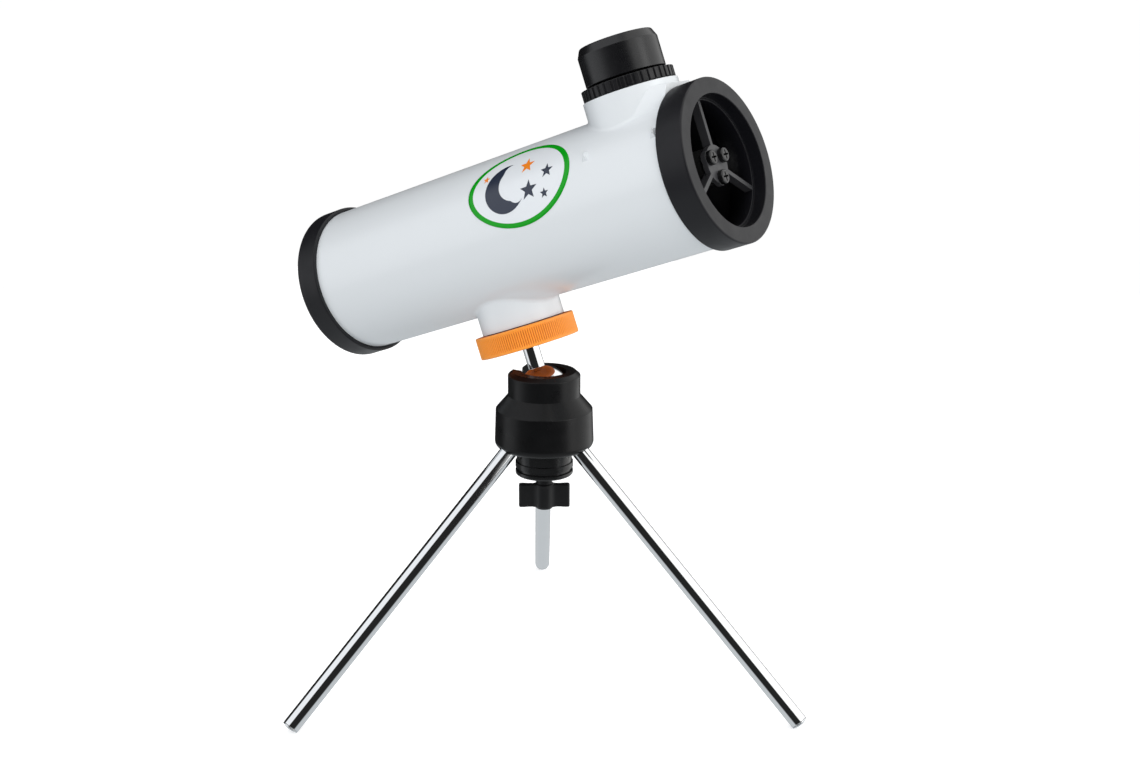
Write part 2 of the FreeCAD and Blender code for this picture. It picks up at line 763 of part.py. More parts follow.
def mirror_cell():
    """Shallow dish that carries the primary mirror."""
    outer = TUBE_R - TUBE_WALL - SEAT
    body = revolved([
        (0, TUBE_REAR),
        (outer, TUBE_REAR),
        (outer, CELL_FRONT),
        (CELL_WALL_IN_R, CELL_FRONT),
        (CELL_WALL_IN_R, CELL_FLOOR),
        (0, CELL_FLOOR),
    ])
    return on_tube(along_tube(body.cut(cell_screw_holes())))


def primary_mirror():
    """Concave primary mirror."""
    disc = cylinder(MIRROR_R, MIRROR_BACK, MIRROR_FRONT)
    drop = MIRROR_CURVE_R - math.sqrt(MIRROR_CURVE_R ** 2 - (MIRROR_R - 0.4) ** 2)
    hollow = sphere(MIRROR_CURVE_R, Z * (MIRROR_FRONT - drop + MIRROR_CURVE_R))
    return on_tube(along_tube(disc.cut(hollow)))


def mirror_retainer():
    """Ring in front of the primary mirror's rim."""
    outer = TUBE_R - TUBE_WALL - SEAT
    return on_tube(along_tube(tube(outer, RETAINER_IN_R, CELL_FRONT, RETAINER_FRONT)))


def cell_screws():
    """Three screws through the rear cap into the mirror cell."""
    seat = -(CAP_REAR + CAP_RECESS)
    length = seat + CELL_FLOOR - 0.7
    screw = pan_screw(CELL_SCREW_HEAD_R, CELL_SCREW_HEAD_H, CELL_SCREW_R, seat, length)
    screw = turned(screw, 180, X)
    screws = [moved(screw, polar(CELL_SCREW_PCR, a)) for a in CELL_SCREW_ANGLES]
    return on_tube(along_tube(Part.makeCompound(screws)))


# ---- focuser and eyepiece ----

def on_focuser(shape):
    """Places a shape drawn about Z over the turret, with heights from the tube's axis."""
    return on_tube(moved(shape, X * TURRET_X))


def focus_ring():
    """Ribbed ring that turns on the turret's neck and drives the drawtube."""
    neck = TURRET_NECK_R + GAP
    points = []
    for k in range(FOCUS_RIBS):
        step = 360.0 / FOCUS_RIBS
        for fraction, depth in ((0.0, 0), (0.5, 0), (0.6, FOCUS_RIB_DEPTH), (0.9, FOCUS_RIB_DEPTH)):
            points.append(polar(FOCUS_RING_R - depth, step * (k + fraction)))
    outline = Part.makePolygon([p + Z * FOCUS_RING_BOTTOM for p in points + points[:1]])
    body = Part.Face(outline).extrude(Z * (FOCUS_RING_TOP - FOCUS_RING_BOTTOM))
    body = body.cut(cylinder(neck, 0, FOCUS_LIP_BOTTOM))
    return on_focuser(body.cut(cylinder(DRAW_R + 0.1, 0, 60)))


def focuser_drawtube():
    """Tube that slides in the turret and holds the eyepiece."""
    return on_focuser(tube(DRAW_R, DRAW_IN_R, DRAW_BOTTOM, DRAW_TOP))


def eyepiece_barrel():
    """Barrel that holds the eyepiece's lenses."""
    return on_focuser(tube(BARREL_R, BARREL_IN_R, BARREL_BOTTOM, BARREL_TOP))


def eyecup():
    """Cup over the top of the eyepiece."""
    body = revolved([
        (BARREL_R + SEAT, EYECUP_BOTTOM),
        (EYECUP_R, EYECUP_BOTTOM),
        (EYECUP_R, EYECUP_EDGE),
        (EYECUP_TOP_R, EYECUP_TOP),
        (EYECUP_LIP_R, EYECUP_TOP),
        (EYE_OPENING_R, BARREL_TOP + 1.4),
        (EYE_OPENING_R, BARREL_TOP + SEAT),
        (BARREL_R + SEAT, BARREL_TOP + SEAT),
    ])
    body = rounded(body, 0.8, [(EYECUP_R, EYECUP_EDGE), (EYECUP_TOP_R, EYECUP_TOP)])
    return on_focuser(rounded(body, 0.5, [(EYECUP_LIP_R, EYECUP_TOP)]))


def sagitta(radius):
    """How far a lens surface has dropped at a radius."""
    return LENS_CURVE_R - math.sqrt(LENS_CURVE_R ** 2 - radius ** 2)


def lens(bottom):
    """Biconvex lens with a plain edge, standing on a height."""
    bulge = sagitta(LENS_R)
    middle = bottom + bulge + LENS_EDGE / 2
    inner = LENS_CURVE_R - bulge - LENS_EDGE / 2
    upper = sphere(LENS_CURVE_R, Z * (middle - inner))
    lower = sphere(LENS_CURVE_R, Z * (middle + inner))
    return cylinder(LENS_R, bottom, bottom + 2 * bulge + LENS_EDGE).common(upper).common(lower)


def field_lens():
    """Lower lens of the eyepiece."""
    return on_focuser(lens(FIELD_LENS_BOTTOM))


def eye_lens():
    """Upper lens of the eyepiece."""
    return on_focuser(lens(EYE_LENS_BOTTOM))


def lens_spacer():
    """Sleeve that keeps the two lenses apart."""
    dip = sagitta(SPACER_IN_R)
    bottom = FIELD_LENS_BOTTOM + 2 * sagitta(LENS_R) + LENS_EDGE - dip + SEAT
    return on_focuser(tube(LENS_R, SPACER_IN_R, bottom, EYE_LENS_BOTTOM + dip - SEAT))


def numbered(name, build):
    """One node for each leg."""
    return {f"{name}_{n}": build(azimuth) for n, azimuth in enumerate(LEG_AZIMUTHS, 1)}


def build_nodes():
    """Every sub-part by the name of its node."""
    singles = (
        bell_housing, leg_hub, leg_pins, hub_screws,
        pressure_cup, clamp_screw, wing_knob,
        ball_liner, ball, stud, grip_pad, lock_ring,
        optical_tube, mount_insert, side_label,
        front_ring, spider, secondary_screws, secondary_holder, secondary_mirror,
        rear_cap, mirror_cell, primary_mirror, mirror_retainer, cell_screws,
        focus_ring, focuser_drawtube, eyepiece_barrel, eyecup,
        field_lens, eye_lens, lens_spacer,
    )
    nodes = {build.__name__: build() for build in singles}
    nodes.update(numbered("leg_rod", leg_rod))
    nodes.update(numbered("leg_tip", leg_tip))
    return nodes


os.makedirs("parts", exist_ok=True)
for node_name, node_shape in build_nodes().items():
    node_shape.exportStep(f"parts/{node_name}.step")
    volume = node_shape.Volume / 1000
    print(f"{node_name:20s} valid={node_shape.isValid()} solids={len(node_shape.Solids)} {volume:8.3f} cm3")
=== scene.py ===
import math

import bmesh
import bpy
from mathutils import Matrix, Vector


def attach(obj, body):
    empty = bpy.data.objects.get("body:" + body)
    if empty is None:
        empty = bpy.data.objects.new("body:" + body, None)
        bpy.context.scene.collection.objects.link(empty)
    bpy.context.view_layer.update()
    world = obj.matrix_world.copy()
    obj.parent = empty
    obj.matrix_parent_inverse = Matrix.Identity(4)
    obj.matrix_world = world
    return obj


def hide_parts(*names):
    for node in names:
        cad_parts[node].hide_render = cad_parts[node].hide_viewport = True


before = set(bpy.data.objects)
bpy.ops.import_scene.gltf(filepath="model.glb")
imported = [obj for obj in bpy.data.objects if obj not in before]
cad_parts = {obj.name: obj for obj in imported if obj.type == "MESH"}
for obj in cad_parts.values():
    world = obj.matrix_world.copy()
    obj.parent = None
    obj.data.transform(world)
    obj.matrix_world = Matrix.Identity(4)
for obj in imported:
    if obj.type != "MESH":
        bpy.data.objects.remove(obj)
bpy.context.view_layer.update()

# Tabletop telescope on a mini tripod. Outlines below are in millimetres, in the frame of the piece.
MM = 0.001
WORLD = Matrix.Identity(4)
PAN = math.radians(-33.95)
ALTITUDE = math.radians(20.4)
BALL_HEIGHT = 0.1234        # middle of the ball over the floor, in metres like the next four
TUBE_RISE = 0.06625         # from the ball to the tube's axis
FOCUSER_REACH = 0.080       # from the stud's axis forward to the focuser's
HINGE_RADIUS = 0.013
HINGE_HEIGHT = 0.104
STUD = (
    Matrix.Translation((0, 0, BALL_HEIGHT))
    @ Matrix.Rotation(PAN, 4, "Z")
    @ Matrix.Rotation(-ALTITUDE, 4, "Y")
)
TUBE = STUD @ Matrix.Translation((0, 0, TUBE_RISE))
FOCUSER = TUBE @ Matrix.Translation((FOCUSER_REACH, 0, 0))
# Z forward along the tube, X to its left and Y up
AHEAD = TUBE @ Matrix(((0, 0, 1, 0), (1, 0, 0, 0), (0, 1, 0, 0), (0, 0, 0, 1)))

# Angles, and main sizes in millimetres. A name that ends in _R is a radius.
LEG_AZIMUTHS = (90, 210, 330)
VANE_ANGLES = (90, 210, 330)
SCREW_ANGLES = (30, 150, 270)
LEG_SPREAD = math.radians(45.5)
LEG_LENGTH = 144.868
LEG_R = 3.45
BALL_R = 11.0
STUD_R = 3.45
THREAD_TURNS = 11
THREAD_PITCH = 1.27
LOCK_RING_R = 20.7
LOCK_RIBS = 136
LOCK_RIB_DEPTH = 0.55
FOCUS_RING_R = 18.1
FOCUS_RIBS = 40
FOCUS_RIB_DEPTH = 0.6
EYECUP_R = 15.7
LENS_R = 10.3
LENS_SPHERE = 32.0
LENS_EDGE = 1.6


# ---- materials ----

def add(tree, kind, inputs=(), **settings):
    """A shader node with its settings and its unlinked input values."""
    node = tree.nodes.new(kind)
    for key, value in settings.items():
        setattr(node, key, value)
    for key, value in inputs:
        node.inputs[key].default_value = value
    return node


def noise(tree, coords, size, detail=3.0):
    """Noise whose features are about that many millimetres across."""
    node = add(tree, "ShaderNodeTexNoise", [("Scale", 1000.0 / size), ("Detail", detail)])
    tree.links.new(coords, node.inputs["Vector"])
    return node.outputs["Fac"]


def spread(tree, value, low, high):
    """Maps the middle of a noise onto a range."""
    node = add(
        tree,
        "ShaderNodeMapRange",
        [("From Min", 0.3), ("From Max", 0.7), ("To Min", low), ("To Max", high)],
    )
    tree.links.new(value, node.inputs["Value"])
    return node.outputs["Result"]


def band(tree, value, off, on):
    """0 where a value is at or before off, 1 at or past on."""
    node = add(tree, "ShaderNodeMapRange", [("From Min", off), ("From Max", on)])
    tree.links.new(value, node.inputs["Value"])
    return node.outputs["Result"]


def product(tree, first, *rest):
    """Values multiplied together."""
    for value in rest:
        node = add(tree, "ShaderNodeMath", operation="MULTIPLY")
        tree.links.new(first, node.inputs[0])
        tree.links.new(value, node.inputs[1])
        first = node.outputs["Value"]
    return first


def tinted(tree, value, dark, light):
    """A colour between two, by a value. The first may be another node's result."""
    node = add(tree, "ShaderNodeMix", data_type="RGBA")
    if isinstance(dark, bpy.types.NodeSocket):
        tree.links.new(dark, node.inputs["A"])
    else:
        node.inputs["A"].default_value = (*dark, 1)
    node.inputs["B"].default_value = (*light, 1)
    tree.links.new(value, node.inputs["Factor"])
    return node.outputs["Result"]


def finish_of(name, colour, rough, vary=0.06, grain=0.4, depth=0.01, **sockets):
    """Material with cloudy colour, uneven gloss and a fine surface grain.

    rough is the range of roughness, grain the size and depth the height of the texture in millimetres.
    """
    mat = bpy.data.materials.new(name)
    mat.use_nodes = True
    tree = mat.node_tree
    shader = tree.nodes["Principled BSDF"]
    coords = add(tree, "ShaderNodeTexCoord").outputs["Object"]
    cloud = noise(tree, coords, 14.0)
    dark = [c * (1 - vary) for c in colour]
    light = [min(1.0, c * (1 + vary)) for c in colour]
    tree.links.new(tinted(tree, cloud, dark, light), shader.inputs["Base Color"])
    smear = noise(tree, coords, 6.0, 5.0)
    tree.links.new(spread(tree, smear, *rough), shader.inputs["Roughness"])
    bump = add(tree, "ShaderNodeBump", [("Strength", 1.0), ("Distance", depth * MM)])
    tree.links.new(noise(tree, coords, grain, 2.0), bump.inputs["Height"])
    tree.links.new(bump.outputs["Normal"], shader.inputs["Normal"])
    for key, value in sockets.items():
        shader.inputs[key.replace("_", " ")].default_value = value
    return mat


def inside(mat, centre, axis, radius, colour):
    """Paints what lies nearer to an axis than a radius in millimetres with another colour."""
    tree = mat.node_tree
    shader = tree.nodes["Principled BSDF"]
    coords = add(tree, "ShaderNodeTexCoord").outputs["Object"]
    offset = add(tree, "ShaderNodeVectorMath", operation="SUBTRACT")
    offset.inputs[1].default_value = centre
    tree.links.new(coords, offset.inputs[0])
    across = add(tree, "ShaderNodeVectorMath", operation="CROSS_PRODUCT")
    across.inputs[1].default_value = axis
    tree.links.new(offset.outputs["Vector"], across.inputs[0])
    length = add(tree, "ShaderNodeVectorMath", operation="LENGTH")
    tree.links.new(across.outputs["Vector"], length.inputs[0])
    within = band(tree, length.outputs["Value"], (radius + 0.15) * MM, (radius - 0.15) * MM)
    outer = shader.inputs["Base Color"].links[0].from_socket
    tree.links.new(tinted(tree, within, outer, colour), shader.inputs["Base Color"])
    return mat


TUBE_WHITE = inside(
    finish_of(
        "tube_white", (0.77, 0.80, 0.82), (0.3, 0.34), vary=0.006, grain=0.6, depth=0.0004,
        Coat_Weight=0.25, Coat_Roughness=0.12,
    ),
    TUBE.translation, TUBE.col[0].xyz, 28.6, (0.008, 0.008, 0.009),
)
HEAD_BLACK = finish_of(
    "head_black", (0.0042, 0.0042, 0.0045), (0.26, 0.36), vary=0.15, grain=0.35, depth=0.012,
    Specular_IOR_Level=0.22,
)
HUB_BLACK = finish_of(
    "hub_black", (0.004, 0.004, 0.0043), (0.2, 0.3), vary=0.12, grain=0.5, depth=0.004,
    Specular_IOR_Level=0.5,
)
KNOB_BLACK = finish_of(
    "knob_black", (0.007, 0.007, 0.0075), (0.34, 0.44), vary=0.12, grain=0.4, depth=0.01,
    Specular_IOR_Level=0.35,
)
FRONT_BLACK = finish_of(
    "front_black", (0.007, 0.007, 0.009), (0.36, 0.46), vary=0.12, grain=0.3, depth=0.008,
    Specular_IOR_Level=0.3,
)
FOCUS_BLACK = finish_of(
    "focus_black", (0.006, 0.006, 0.007), (0.3, 0.4), vary=0.12, grain=0.4, depth=0.006,
    Specular_IOR_Level=0.4,
)
EYECUP_BLACK = finish_of(
    "eyecup_black", (0.006, 0.006, 0.007), (0.24, 0.32), vary=0.12, grain=0.6, depth=0.004,
    Specular_IOR_Level=0.5,
)
SPIDER_GREY = finish_of(
    "spider_grey", (0.035, 0.035, 0.038), (0.38, 0.5), vary=0.12, grain=0.3, depth=0.01,
)
INNER_BLACK = finish_of(
    "inner_black", (0.008, 0.008, 0.008), (0.7, 0.85), vary=0.2, grain=0.25, depth=0.02,
)
SCREW_BLACK = finish_of(
    "screw_black", (0.007, 0.007, 0.0075), (0.1, 0.18), vary=0.2, grain=0.5, depth=0.003,
)
CHROME = finish_of(
    "chrome", (0.83, 0.84, 0.85), (0.03, 0.075), vary=0.02, grain=1.5, depth=0.0006, Metallic=1.0,
)
STEEL = finish_of(
    "steel", (0.58, 0.58, 0.59), (0.22, 0.34), vary=0.05, grain=0.2, depth=0.003, Metallic=1.0,
)
BRASS = finish_of(
    "brass", (0.72, 0.50, 0.20), (0.25, 0.38), vary=0.08, grain=0.3, depth=0.004, Metallic=1.0,
)
MIRROR = finish_of(
    "mirror", (0.90, 0.91, 0.92), (0.01, 0.03), vary=0.01, grain=4.0, depth=0.0002, Metallic=1.0,
)
NYLON = finish_of(
    "nylon", (0.78, 0.76, 0.70), (0.4, 0.55), vary=0.04, grain=0.5, depth=0.01,
)
RUBBER = finish_of(
    "pad_rubber", (0.016, 0.016, 0.016), (0.65, 0.8), vary=0.15, grain=0.3, depth=0.03,
)
# Painted shade: the lock ring's orange turns darker nearer the stud's axis than 20.42 mm. This darkens
# the rib grooves and the ring's top, bottom and inner faces, and so also its reflection in the ball.
RING_ORANGE_PAINTED_SHADE = inside(
    finish_of(
        "ring_orange", (1.0, 0.34, 0.038), (0.36, 0.46), vary=0.03, grain=0.5, depth=0.003,
    ),
    STUD.translation, STUD.col[2].xyz, 20.42, (0.62, 0.13, 0.012),
)
LABEL_PALE = finish_of(
    "label_pale", (0.80, 0.83, 0.86), (0.16, 0.24), vary=0.012, grain=2.0, depth=0.002,
    Coat_Weight=0.3, Coat_Roughness=0.06,
)
LABEL_GREEN = finish_of(
    "label_green", (0.002, 0.34, 0.008), (0.16, 0.24), vary=0.05, grain=2.0, depth=0.002,
    Specular_IOR_Level=0.25,
)
LABEL_NAVY = finish_of(
    "label_navy", (0.022, 0.030, 0.055), (0.16, 0.24), vary=0.08, grain=2.0, depth=0.002,
)
LABEL_ORANGE = finish_of(
    "label_orange", (0.90, 0.25, 0.02), (0.16, 0.24), vary=0.05, grain=2.0, depth=0.002,
)
GLASS = finish_of(
    "lens_glass", (0.93, 0.97, 0.95), (0.0, 0.02), vary=0.01, grain=5.0, depth=0.0001,
    Transmission_Weight=1.0, IOR=1.52, Coat_Weight=0.2, Coat_Roughness=0.02,
)
FLOOR = finish_of(
    "floor", (0.90, 0.90, 0.90), (0.7, 0.8), vary=0.004, grain=3.0, depth=0.001,
    Emission_Color=(1, 1, 1, 1), Emission_Strength=0.45,
)


# ---- mesh helpers ----

def corner(before, at, after, radius):
    """Points of the arc that rounds a corner, with a point just before and after it."""
    to_before = (before - at).normalized()
    to_after = (after - at).normalized()
    half = to_before.angle(to_after) / 2
    reach = min(radius / math.tan(half), (before - at).length * 0.45, (after - at).length * 0.45)
    radius = reach * math.tan(half)
    centre = at + (to_before + to_after).normalized() * math.hypot(reach, radius)
    first = at + to_before * reach
    last = at + to_after * reach
    start, end = first - centre, last - centre
    turn = start.angle_signed(end)
    steps = 6
    arc = []
    for k in range(steps + 1):
        a = -turn * k / steps
        c, s = math.cos(a), math.sin(a)
        arc.append(centre + Vector((start.x * c - start.y * s, start.x * s + start.y * c)))
    lead = 0.12 * reach
    return [first + to_before * lead] + arc + [last + to_after * lead]


def profile(outline):
    """Closed outline of (radius, height, rounding) corners as points."""
    flat = [Vector(p[:2]) for p in outline]
    points = []
    for k, spec in enumerate(outline):
        before, after = flat[k - 1], flat[(k + 1) % len(flat)]
        if len(spec) == 3 and spec[2] > 0:
            points += corner(before, flat[k], after, spec[2])
        else:
            points.append(flat[k])
    return points


def solid(name, verts, faces, place, mat):
    """Object from vertices in millimetres in the frame of the piece."""
    mesh = bpy.data.meshes.new(name)
    mesh.from_pydata([place @ (Vector(v) * MM) for v in verts], [], faces)
    work = bmesh.new()
    work.from_mesh(mesh)
    bmesh.ops.remove_doubles(work, verts=work.verts, dist=1e-7)
    bmesh.ops.recalc_face_normals(work, faces=work.faces)
    work.to_mesh(mesh)
    work.free()
    for poly in mesh.polygons:
        poly.use_smooth = True
    mesh.materials.append(mat)
    obj = bpy.data.objects.new(name, mesh)
    bpy.context.collection.objects.link(obj)
    return obj


def lathe(name, outline, place, mat, around=144, shape=None):
    """Turned solid. shape(angle, radius, height) may change a point's radius."""
    rows = profile(outline)
    verts = []
    for p in rows:
        for k in range(around):
            a = 2 * math.pi * k / around
            r = shape(a, p.x, p.y) if shape else p.x
            verts.append((r * math.cos(a), r * math.sin(a), p.y))
    faces = []
    for i in range(len(rows)):
        j = (i + 1) % len(rows)
        if rows[i].x < 1e-6 and rows[j].x < 1e-6:
            continue
        for k in range(around):
            m = (k + 1) % around
            faces.append((i * around + k, i * around + m, j * around + m, j * around + k))
    return solid(name, verts, faces, place, mat)


def on_circle(radius, degrees):
    """Points of a circle at whole degrees."""
    turns = [math.radians(a) for a in degrees]
    return [(radius * math.cos(a), radius * math.sin(a)) for a in turns]


def prism(outline, low, high):
    """Vertices and faces of an upright prism over a convex or star-shaped outline."""
    n = len(outline)
    verts = [(x, y, low) for x, y in outline] + [(x, y, high) for x, y in outline]
    faces = [tuple(range(n)), tuple(range(n, 2 * n))]
    faces += [(k, (k + 1) % n, n + (k + 1) % n, n + k) for k in range(n)]
    return verts, faces


def joined(parts):
    """One list of vertices and faces from several."""
    verts, faces = [], []
    for v, f in parts:
        start = len(verts)
        verts += v
        faces += [tuple(i + start for i in face) for face in f]
    return verts, faces


def bevel(obj, width, segments=3):
    """Rounds the edges of a piece and keeps its flats flat."""
    mod = obj.modifiers.new("bevel", "BEVEL")
    mod.width = width * MM
    mod.segments = segments
    mod.limit_method = "ANGLE"
    mod.angle_limit = math.radians(35)
    mod.harden_normals = True
    return obj


def put(obj, body, slot, *nodes):
    """The piece rides on a body and stands for its CAD nodes, which it hides. slot is not used."""
    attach(obj, body)
    if nodes:
        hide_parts(*nodes)
    return obj


def smoothstep(low, high, value):
    """0 below low, 1 above high, and a smooth rise between."""
    t = min(1.0, max(0.0, (value - low) / (high - low)))
    return t * t * (3 - 2 * t)


# ---- tripod head ----

def wing_outline():
    """Plan of the wing knob: hub with two wings that thicken towards their tips."""
    wing = [(10.6, 0.0), (10.5, 1.2), (10.1, 1.8), (8.6, 1.75), (6.6, 1.4), (5.0, 1.35), (4.2, 1.75)]
    quarter = wing + on_circle(3.9, range(34, 90, 8))
    left_top = [(-x, y) for x, y in reversed(quarter)]
    left_low = [(-x, -y) for x, y in quarter[1:]]
    right_low = [(x, -y) for x, y in reversed(quarter[1:])]
    return quarter + left_top + left_low + right_low


def make_head():
    """Ball, stud, wing knob and legs."""
    arc = [(0, -BALL_R)] + on_circle(BALL_R, range(-87, 68, 3))
    ball_outline = arc + [(4.1, 10.2), (3.8, 10.3), (0, 10.3)]
    put(lathe("ball_chrome", ball_outline, STUD, CHROME), "ball_and_stud", "chrome", "ball")
    thread = []
    for k in range(THREAD_TURNS):
        h = 21.6 + THREAD_PITCH * k
        thread += [(3.15, h), (2.8, h + 0.6)]
    stud_outline = [
        (0, -1.9), (2.9, -1.9), (3.0, 10.2), (STUD_R, 10.3, 0.05), (STUD_R, 21.0, 0.2), (3.0, 21.2),
    ]
    stud_outline += thread + [(2.7, 35.6, 0.3), (0, 35.6)]
    put(lathe("stud_chrome", stud_outline, STUD, CHROME), "ball_and_stud", "chrome", "stud")
    wings = prism(wing_outline(), 73.7, 83.5)
    knob = bevel(solid("wing_knob_moulded", *wings, WORLD, KNOB_BLACK), 0.45)
    put(knob, "wing_screw", "knob_black", "wing_knob")
    hub_outline = [
        (0, 73.0), (3.5, 73.0, 0.5), (3.95, 83.6, 0.4), (3.3, 84.0, 0.3), (3.25, 87.5, 0.2), (0, 87.5),
    ]
    collar = lathe("wing_knob_collar", hub_outline, WORLD, KNOB_BLACK, 96)
    put(collar, "wing_screw", "knob_black", "wing_knob")
    for n, azimuth in enumerate(LEG_AZIMUTHS, 1):
        a = math.radians(azimuth)
        place = (
            Matrix.Translation((HINGE_RADIUS * math.cos(a), HINGE_RADIUS * math.sin(a), HINGE_HEIGHT))
            @ Matrix.Rotation(a, 4, "Z")
            @ Matrix.Rotation(-LEG_SPREAD, 4, "Y")
        )
        end = -LEG_LENGTH
        rod_outline = on_circle(LEG_R, range(0, 90, 9)) + [
            (0, LEG_R), (0, -14), (2.65, -14), (2.65, end + 0.5), (LEG_R, end + 0.5, 0.18),
        ]
        rod = lathe(f"leg_rod_{n}_chrome", rod_outline, place, CHROME, 96)
        put(rod, f"leg_{n}", "chrome", f"leg_rod_{n}")
        dome = [(LEG_R * k / 8, end - 0.8 * (1 - (k / 8) ** 2)) for k in range(8)]
        tip_outline = dome + [
            (3.42, end, 0.1), (3.42, end + 0.38, 0.12), (2.6, end + 0.42), (2.6, end + 3.4),
            (0, end + 3.4),
        ]
        tip = lathe(f"leg_tip_{n}_chrome", tip_outline, place, CHROME, 96)
        put(tip, f"leg_{n}", "chrome", f"leg_tip_{n}")


# ---- rings with ribs ----

def fine_ribs(angle, radius, height):
    """Edge of the lock ring: fine upright ribs between plain rims."""
    if radius < 20.3:
        return radius
    fade = smoothstep(20.2, 21.0, height) * (1 - smoothstep(27.0, 27.7, height))
    phase = (angle * LOCK_RIBS / (2 * math.pi)) % 1.0
    return radius - LOCK_RIB_DEPTH * fade * max(0.0, 1 - 3.6 * abs(phase - 0.5))


def coarse_ribs(angle, radius, height):
    """Edge of the focus ring: flat ribs with narrow grooves between."""
    if radius < 17.0:
        return radius
    phase = (angle * FOCUS_RIBS / (2 * math.pi)) % 1.0
    groove = smoothstep(0.02, 0.16, phase) * (1 - smoothstep(0.36, 0.5, phase))
    return radius - FOCUS_RIB_DEPTH * groove


def make_rings():
    """Lock ring, focus ring and eyecup."""
    r = LOCK_RING_R
    lock = [
        (3.75, 19.5), (r, 19.5, 0.9), (r, 20.6), (r, 21.2), (r, 24.0), (r, 26.8), (r, 27.4),
        (r, 28.5, 0.9), (15.8, 28.5, 0.3), (15.8, 27.6), (3.21, 27.6), (3.21, 23.2), (3.75, 23.2),
    ]
    ring = lathe("lock_ring_ribbed", lock, STUD, RING_ORANGE_PAINTED_SHADE, 9 * LOCK_RIBS, fine_ribs)
    put(ring, "lock_wheel", "ring_orange", "lock_ring")
    r = FOCUS_RING_R
    focus = [
        (15.3, 36.7), (r, 36.7, 0.25), (r, 38.8), (r, 40.9, 0.25), (13.3, 40.9, 0.1),
        (13.3, 39.6), (15.3, 39.6),
    ]
    ring = lathe("focus_ring_ribbed", focus, FOCUSER, FOCUS_BLACK, 24 * FOCUS_RIBS, coarse_ribs)
    put(ring, "focus_wheel", "focus_black", "focus_ring")
    r = EYECUP_R
    cup = [
        (12.15, 41.8), (r, 41.8, 0.3), (r, 53.3, 0.8), (14.2, 56.55, 0.8), (11.6, 56.55, 0.5),
        (7.6, 52.7, 0.2), (7.6, 51.35), (12.15, 51.35),
    ]
    put(lathe("eyecup_moulded", cup, FOCUSER, EYECUP_BLACK), "eyepiece", "eyecup_black", "eyecup")


# ---- ends of the tube ----

def lobes(screw_circle, lobe, waist):
    """Outline of the spider's plate: three round lobes round a waist."""
    points = []
    for k in range(180):
        a = 2 * math.pi * k / 180
        best = waist
        for screw in SCREW_ANGLES:
            d = a - math.radians(screw)
            under = lobe ** 2 - (screw_circle * math.sin(d)) ** 2
            if under > 0 and math.cos(d) > 0:
                best = max(best, screw_circle * math.cos(d) + math.sqrt(under))
        points.append((best * math.cos(a), best * math.sin(a)))
    return points


def bar(angle, start, end, half, low, high):
    """Straight vane from one radius to another."""
    c, s = math.cos(math.radians(angle)), math.sin(math.radians(angle))
    plan = [(start, -half), (end, -half), (end, half), (start, half)]
    return prism([(x * c - y * s, x * s + y * c) for x, y in plan], low, high)


def make_ends():
    """Front ring, spider and rear cap."""
    bezel = [
        (30.05, 100.8), (31.85, 100.8, 0.6), (31.85, 112.1, 0.7), (25.5, 112.1, 0.35),
        (25.5, 106.9, 0.1), (24.4, 106.9, 0.25), (24.4, 97.0), (27.95, 97.0), (27.95, 104.55),
        (30.05, 104.55),
    ]
    ring = lathe("front_ring_moulded", bezel, AHEAD, FRONT_BLACK, 192)
    put(ring, "telescope", "front_black", "front_ring")
    plate = prism(lobes(5.3, 3.0, 7.4), 104.7, 106.9)
    vanes = [bar(angle, 5.0, 24.4, 0.9, 103.4, 106.88) for angle in VANE_ANGLES]
    spider = bevel(solid("spider_moulded", *joined([plate] + vanes), AHEAD, SPIDER_GREY), 0.18, 2)
    put(spider, "telescope", "spider_grey", "spider")
    cap = [
        (30.05, -73.2), (31.75, -73.2, 0.4), (31.75, -83.6, 1.6), (23.0, -83.6, 0.4),
        (23.0, -82.0, 0.2), (0, -82.0), (0, -80.1), (30.05, -80.1),
    ]
    back = lathe("rear_cap_moulded", cap, AHEAD, FRONT_BLACK, 192)
    put(back, "telescope", "cap_black", "rear_cap")


# ---- side label ----

LABEL_X = 35.8              # middle of the label along the tube
LABEL_ANGLE = math.radians(147.9)
LABEL_TILT = math.radians(-1.9)
LABEL_HALF = (24.9, 16.6)
LABEL_R = 30.2
LABEL_RIM = 0.895           # where the green rim starts, as a part of the way out
STAR_POINTS = 5
STAR_WAIST = 0.42           # inner radius of a star, as a part of its outer one


def on_label(u, v, lift):
    """Point over the label: u forward and v up across its face, in millimetres from its middle."""
    c, s = math.cos(LABEL_TILT), math.sin(LABEL_TILT)
    along, across = u * c - v * s, u * s + v * c
    radius = LABEL_R + lift
    angle = LABEL_ANGLE - math.asin(across / radius)
    return (LABEL_X + along, radius * math.cos(angle), radius * math.sin(angle))


def grid(rows, columns, point, closed):
    """Vertices and faces of a sheet of points."""
    verts = [point(i / rows, k / columns) for i in range(rows + 1) for k in range(columns)]
    faces = []
    for i in range(rows):
        for k in range(columns if closed else columns - 1):
            m = (k + 1) % columns
            a, b = i * columns, (i + 1) * columns
            faces.append((a + k, a + m, b + m, b + k))
    return verts, faces


def star(u, v, size):
    """Vertices and faces of a small star."""
    n = 2 * STAR_POINTS
    verts = [on_label(u, v, 0.10)]
    for k in range(n):
        r = size if k % 2 == 0 else size * STAR_WAIST
        a = math.pi / 2 + math.pi * k / STAR_POINTS
        verts.append(on_label(u + r * math.cos(a), v + r * math.sin(a), 0.05))
    return verts, [(0, 1 + k, 1 + (k + 1) % n) for k in range(n)]


